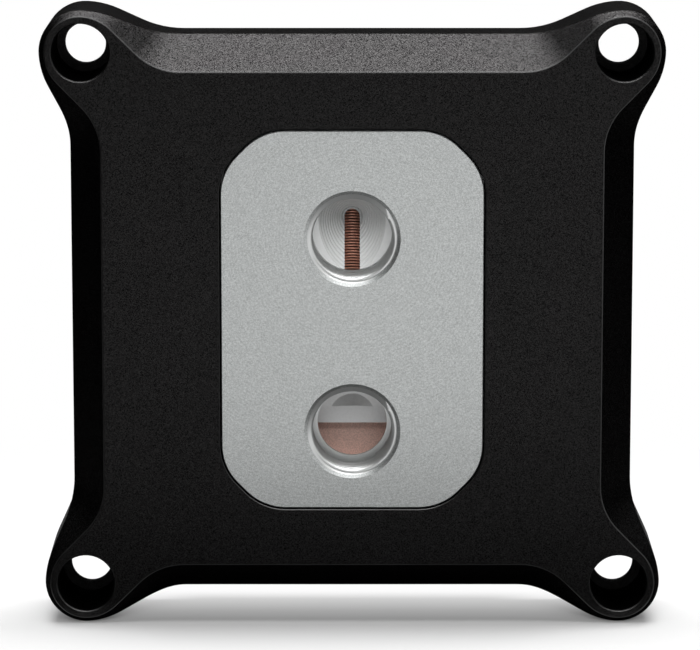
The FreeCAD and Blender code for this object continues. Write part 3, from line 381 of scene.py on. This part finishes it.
steel = Finish("screw_steel", 1.0, 0.32, (0.5, 0.5, 0.5))
steel.set("Base Color", steel.mix(steel.grain(0.5 * MM, 3.0), (0.42, 0.42, 0.43),
                                  (0.56, 0.56, 0.57)))
steel.set("Roughness", steel.ramp(steel.grain(0.2 * MM), 0.3, 0.7, 0.26, 0.38))
steel.set("Normal", steel.bump(steel.grain(0.15 * MM), 0.008 * MM, 0.4))
steel.put_on("cold_plate_screws")
steel.put_on("frame_screws")

# %% [markdown]
# ## Threads in the ports
#
# Both ports carry an internal pipe thread of 1.337 mm pitch, made for a quarter-inch hose
# fitting. The CAD model has the plain bore at the thread's full depth, because threads are
# left to this script. A thread is a ridge that climbs the bore in a helix. It could be
# modelled turn by turn, but its shape follows one rule, so Geometry Nodes make it: a helix,
# a trapezoid swept along it, and a thinning at its foot, where a tap runs out. The shallow
# countersink of the mouth is cut after the thread on the real block, so here too a cone is
# taken off the first turn. One tree serves both ports, because a point at each port's axis
# gets the same ridge.

# %% The thread's sizes
THREAD_PITCH = 1.337 * MM
THREAD_DEPTH = 0.80 * MM
THREAD_ROOT_WIDTH = 1.10 * MM
THREAD_CREST_WIDTH = 0.26 * MM
THREAD_START = -0.40 * MM
THREAD_BITE = 0.04 * MM
RUN_OUT_TURNS = 0.5
RUN_OUT_END = 0.05
ROUND_STEPS = 96
MOUTH_RADIUS = port_radius + 0.42 * MM
MOUTH_SLOPE = math.tan(math.radians(60))
thread_turns = (port_length - THREAD_START - THREAD_PITCH / 2) / THREAD_PITCH
print("each thread has", round(thread_turns, 2), "turns")


# %% Tree of nodes for the threads
def thread_tree(name, material):
    tree = bpy.data.node_groups.new(name, "GeometryNodeTree")
    tree.interface.new_socket("Geometry", in_out="INPUT", socket_type="NodeSocketGeometry")
    for label in ("Bore Radius", "Pitch", "Turns", "Start", "Depth", "Root Width",
                  "Crest Width", "Bite", "Mouth Radius", "Mouth Slope"):
        tree.interface.new_socket(label, in_out="INPUT", socket_type="NodeSocketFloat")
    tree.interface.new_socket("Geometry", in_out="OUTPUT", socket_type="NodeSocketGeometry")
    wiring = Wiring(tree)
    add, link, calc = wiring.node, wiring.link, wiring.math
    given = add("NodeGroupInput").outputs
    result = add("NodeGroupOutput")

    helix = add("GeometryNodeCurveSpiral")
    helix.inputs["Resolution"].default_value = ROUND_STEPS
    helix.inputs["Reverse"].default_value = True
    foot_radius = calc("ADD", given["Bore Radius"], given["Bite"])
    link(given["Turns"], helix.inputs["Rotations"])
    link(foot_radius, helix.inputs["Start Radius"])
    link(foot_radius, helix.inputs["End Radius"])
    link(calc("MULTIPLY", given["Pitch"], given["Turns"]), helix.inputs["Height"])
    upright = add("GeometryNodeSetCurveNormal", mode="Z_UP")
    link(helix.outputs[0], upright.inputs["Curve"])

    along = add("GeometryNodeSplineParameter").outputs["Factor"]
    turns_left = calc("MULTIPLY", calc("SUBTRACT", 1.0, along), given["Turns"])
    thinned = add("GeometryNodeSetCurveRadius")
    link(upright.outputs[0], thinned.inputs["Curve"])
    link(wiring.ramp(turns_left, 0.0, RUN_OUT_TURNS, RUN_OUT_END), thinned.inputs["Radius"])

    ridge = add("GeometryNodeCurvePrimitiveQuadrilateral", mode="TRAPEZOID")
    link(given["Root Width"], ridge.inputs["Bottom Width"])
    link(given["Crest Width"], ridge.inputs["Top Width"])
    ridge.inputs["Offset"].default_value = 0
    ridge_height = calc("ADD", given["Depth"], given["Bite"])
    link(ridge_height, ridge.inputs["Height"])
    turned_in = add("GeometryNodeTransform")
    link(ridge.outputs[0], turned_in.inputs["Geometry"])
    turned_in.inputs["Rotation"].default_value = (0, 0, math.radians(90))
    link(calc("MULTIPLY", ridge_height, -0.5),
         one_axis(wiring, "X", turned_in.inputs["Translation"]))
    swept = add("GeometryNodeCurveToMesh")
    swept.inputs["Fill Caps"].default_value = True
    link(thinned.outputs[0], swept.inputs["Curve"])
    link(turned_in.outputs[0], swept.inputs["Profile Curve"])
    sunk = add("GeometryNodeTransform")
    link(swept.outputs[0], sunk.inputs["Geometry"])
    link(given["Start"], one_axis(wiring, "Z", sunk.inputs["Translation"]))

    # the cone has twice the mouth's radius and starts above the face, to clear the ridge
    cone = add("GeometryNodeMeshCone")
    cone.inputs["Vertices"].default_value = ROUND_STEPS
    cone.inputs["Radius Top"].default_value = 0
    cone_radius = calc("MULTIPLY", given["Mouth Radius"], 2)
    link(cone_radius, cone.inputs["Radius Bottom"])
    link(calc("DIVIDE", cone_radius, given["Mouth Slope"]), cone.inputs["Depth"])
    lifted = add("GeometryNodeTransform")
    link(cone.outputs["Mesh"], lifted.inputs["Geometry"])
    link(calc("DIVIDE", calc("MULTIPLY", given["Mouth Radius"], -1), given["Mouth Slope"]),
         one_axis(wiring, "Z", lifted.inputs["Translation"]))
    sink = add("GeometryNodeMeshBoolean", operation="DIFFERENCE", solver="EXACT")
    link(sunk.outputs[0], sink.inputs["Mesh 1"])
    link(lifted.outputs[0], sink.inputs["Mesh 2"])

    spread = add("GeometryNodeInstanceOnPoints")
    link(given["Geometry"], spread.inputs["Points"])
    link(sink.outputs["Mesh"], spread.inputs["Instance"])
    spread.inputs["Rotation"].default_value = (math.radians(-90), 0, 0)
    solid = add("GeometryNodeRealizeInstances")
    link(spread.outputs[0], solid.inputs[0])
    finish = add("GeometryNodeSetMaterial")
    finish.inputs["Material"].default_value = material
    link(solid.outputs[0], finish.inputs["Geometry"])
    link(finish.outputs[0], result.inputs["Geometry"])
    return tree


def one_axis(wiring, axis, socket):
    """A socket that sets only one axis of a vector."""
    made = wiring.node("ShaderNodeCombineXYZ")
    wiring.link(made.outputs[0], socket)
    return made.inputs[axis]


# %% Grow the threads and keep them as a plain mesh
def grown(name, points, tree, sizes):
    """The mesh that a tree makes from some points, as an object of its own."""
    seed = bpy.data.meshes.new(name + "_points")
    seed.from_pydata(points, [], [])
    carrier = bpy.data.objects.new(name + "_carrier", seed)
    scene.collection.objects.link(carrier)
    modifier = carrier.modifiers.new("grow", "NODES")
    modifier.node_group = tree
    for item in tree.interface.items_tree:
        if item.in_out == "INPUT" and item.name in sizes:
            modifier[item.identifier] = sizes[item.name]
    carrier.update_tag()
    evaluated = carrier.evaluated_get(bpy.context.evaluated_depsgraph_get())
    mesh = bpy.data.meshes.new_from_object(evaluated)
    bpy.data.objects.remove(carrier)
    piece = bpy.data.objects.new(name, mesh)
    scene.collection.objects.link(piece)
    print(name, "has", len(mesh.polygons), "faces")
    return piece


thread_points = [(p.x, block_low.y, p.z) for p in (inlet, outlet)]
threads = grown("port_threads", thread_points, thread_tree("port_thread_rule", silver.material),
                {"Bore Radius": port_radius, "Pitch": THREAD_PITCH, "Turns": thread_turns,
                 "Start": THREAD_START, "Depth": THREAD_DEPTH,
                 "Root Width": THREAD_ROOT_WIDTH, "Crest Width": THREAD_CREST_WIDTH,
                 "Bite": THREAD_BITE, "Mouth Radius": MOUTH_RADIUS,
                 "Mouth Slope": MOUTH_SLOPE})
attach(threads, "root")
box = [[round(c / MM, 2) for c in corner] for corner in threads.bound_box]
print("threads span", min(box), "to", max(box), "mm")

# %% [markdown]
# ## Floor and light
#
# The picture shows the plate on a white sweep with a soft shadow in front of it. The main
# light is a wide soft box over the plate, a little behind it: it lights the upper bevel,
# leaves the face dark and throws the shadow forward. The floor is plain and pale, and
# further off it fades into a white surround, so no edge of it shows. The shadow is a narrow
# valley along the foot of the plate. One lamp would need a size and a place that the bevels
# forbid, so the floor shows the lamps' own shadow most at the middle of that valley, and
# its white more and more on either side.

# %% The white floor and surround
FLOOR_REACH = 1.5
FADE_START, FADE_END = 0.05, 0.13
SHADOW_LIFT, PAPER_LIFT = 0.05, 0.74
VALLEY_PLACE, VALLEY_WIDTH = -0.0105, 0.0225
ROOM_LIGHT = 0.3
PAPER_GREY = 0.43


def white_to_lens(wiring, dim):
    """A strength of 1 to the lens, to gloss and through glass, and dim to everything else."""
    path = wiring.node("ShaderNodeLightPath").outputs
    seen = wiring.math("MAXIMUM", path["Is Camera Ray"], path["Is Glossy Ray"])
    clear = wiring.math("MAXIMUM", seen, path["Is Transmission Ray"])
    return wiring.ramp(clear, 0.0, 1.0, dim, 1.0)


floor_mesh = bpy.data.meshes.new("floor")
floor_mesh.from_pydata([(-FLOOR_REACH, -FLOOR_REACH, 0), (FLOOR_REACH, -FLOOR_REACH, 0),
                        (FLOOR_REACH, FLOOR_REACH, 0), (-FLOOR_REACH, FLOOR_REACH, 0)],
                       [], [(0, 1, 2, 3)])
floor = bpy.data.objects.new("floor", floor_mesh)
scene.collection.objects.link(floor)
paper = bpy.data.materials.new("white_paper")
paper.use_nodes = True
paper.node_tree.nodes.clear()
sweep = Wiring(paper.node_tree)
matt = sweep.node("ShaderNodeBsdfDiffuse")
matt.inputs["Color"].default_value = (PAPER_GREY, PAPER_GREY, PAPER_GREY, 1)
glow = sweep.node("ShaderNodeEmission")
sweep.link(white_to_lens(sweep, ROOM_LIGHT), glow.inputs["Strength"])
spot = sweep.node("ShaderNodeTexCoord").outputs["Object"]
way_off = sweep.node("ShaderNodeVectorMath", operation="LENGTH")
sweep.link(spot, way_off.inputs[0])
# the glow is painted light that fills in the lamps' shadow on the floor: least along the valley
# at the plate's foot, more to either side, fully beyond FADE_END
off_line = sweep.math("SUBTRACT", sweep.axes(spot)["Y"], VALLEY_PLACE)
valley = sweep.ramp(sweep.math("ABSOLUTE", off_line), 0.0, VALLEY_WIDTH, SHADOW_LIFT, PAPER_LIFT)
white_share = sweep.ramp(way_off.outputs["Value"], FADE_START, FADE_END, valley)
blend = sweep.node("ShaderNodeMixShader")
for source, socket in zip((white_share, matt.outputs[0], glow.outputs[0]), blend.inputs):
    sweep.link(source, socket)
sweep.link(blend.outputs[0], sweep.node("ShaderNodeOutputMaterial").inputs["Surface"])
floor.data.materials.append(paper)

world = bpy.data.worlds.new("surround")
scene.world = world
world.use_nodes = True
sky = world.node_tree.nodes["Background"]
sky.inputs["Color"].default_value = (1, 1, 1, 1)
around = Wiring(world.node_tree)
around.link(white_to_lens(around, ROOM_LIGHT), sky.inputs["Strength"])
print("floor fades to white between", FADE_START, "and", FADE_END, "m from the plate")

# %% [markdown]
# ## Soft boxes and cards
#
# Four boxes hang round the plate. The top box makes the upper bevel shine. The edge box
# stands just in front of it for the broken edges and the threads. The front box is what the
# countersinks and thread flanks mirror, forty-five degrees up. The fill box reaches deep
# into the ports from lower down, but is hidden from mirrors, or it would show in the face.
# Metal shows what stands round it as much as what lights it, so black cards stand at the
# sides, behind, high in front and on the floor, as in a studio. They keep the side bevels,
# the upper half of the port mouths and the foot of the face dark, which lamps alone could
# not do. Only mirrors see them: the lens and the matt floor don't.

# %% The soft boxes
def soft_box(name, place, width, depth, radiance, aim):
    """A rectangular lamp that sends out the same radiance from all of its face."""
    data = bpy.data.lights.new(name, "AREA")
    data.shape = "RECTANGLE"
    data.size = width
    data.size_y = depth
    data.energy = radiance * math.pi * width * depth
    lamp = bpy.data.objects.new(name, data)
    lamp.location = place
    lamp.rotation_euler = (Vector(place) - aim).to_track_quat("Z", "Y").to_euler()
    scene.collection.objects.link(lamp)
    print(name, "gives", round(data.energy, 2), "W")
    return lamp


soft_box("top_box", (0.03, 0.085, centre.z + 0.42), 0.46, 0.18, 21.0,
         centre + Vector((0.03, 0.085, 0)))
soft_box("edge_box", (0.03, -0.075, centre.z + 0.42), 0.46, 0.09, 8.0,
         centre + Vector((0.03, -0.075, 0)))
soft_box("front_box", (0.03, -0.42, centre.z + 0.46), 0.50, 0.22, 1.7, centre)
fill_box = soft_box("fill_box", (0.03, -0.55, centre.z + 0.30), 0.50, 0.20, 8.0, centre)
fill_box.visible_glossy = False

# %% The dark cards
card_paint = bpy.data.materials.new("black_card")
card_paint.use_nodes = True
card_shader = card_paint.node_tree.nodes["Principled BSDF"]
card_shader.inputs["Base Color"].default_value = (0.02, 0.02, 0.02, 1)
card_shader.inputs["Specular IOR Level"].default_value = 0.0


def dark_card(name, corners):
    """A black card that the lens doesn't see, and that throws no shadow."""
    mesh = bpy.data.meshes.new(name)
    mesh.from_pydata(corners, [], [(0, 1, 2, 3)])
    card = bpy.data.objects.new(name, mesh)
    scene.collection.objects.link(card)
    card.data.materials.append(card_paint)
    card.visible_camera = False
    card.visible_shadow = False
    card.visible_diffuse = False


SIDE_CARD_HEIGHT = 0.30
SIDE_CARD_BACK = 0.30
for name, out, front in (("left_card", -0.13, -0.34), ("right_card", 0.14, -0.04)):
    dark_card(name, [(out, front, 0), (out, SIDE_CARD_BACK, 0),
                     (out, SIDE_CARD_BACK, SIDE_CARD_HEIGHT), (out, front, SIDE_CARD_HEIGHT)])

# half width, then y and z of the near edge and of the far one
for name, wide, near, far in (("high_card", 0.60, (-0.50, 0.16), (-0.46, 0.36)),
                              ("back_card", 0.30, (0.30, 0.0), (0.30, 0.13)),
                              ("front_card", 0.16, (-0.068, 0.001), (-0.012, 0.001)),
                              ("under_card", 0.05, (-0.008, 0.001), (0.06, 0.001))):
    dark_card(name, [(-wide, *near), (wide, *near), (wide, *far), (-wide, *far)])

# %% [markdown]
# ## Camera
#
# The photograph was taken from the front with a long lens, ten degrees above level. The
# place and the lens were found by matching the four corner holes, the ports and the
# outline of the frame, so they are numbers of this picture and not of the object.

# %% Camera of the photograph
CAMERA_PLACE = (-0.000766, -0.59102, 0.15026)
CAMERA_AIM = (-0.000333, -0.0095, 0.044441)
camera_data = bpy.data.cameras.new("camera")
camera_data.sensor_width = 36.0
camera_data.lens = 209.97
camera_data.clip_start = 0.01
camera = bpy.data.objects.new("camera", camera_data)
camera.location = CAMERA_PLACE
sight = Vector(CAMERA_AIM) - Vector(CAMERA_PLACE)
camera.rotation_euler = sight.to_track_quat("-Z", "Y").to_euler()
scene.collection.objects.link(camera)
scene.camera = camera
scene.view_settings.view_transform = "Standard"
print("camera looks down by", round(math.degrees(math.asin(-sight.normalized().z)), 2), "degrees")
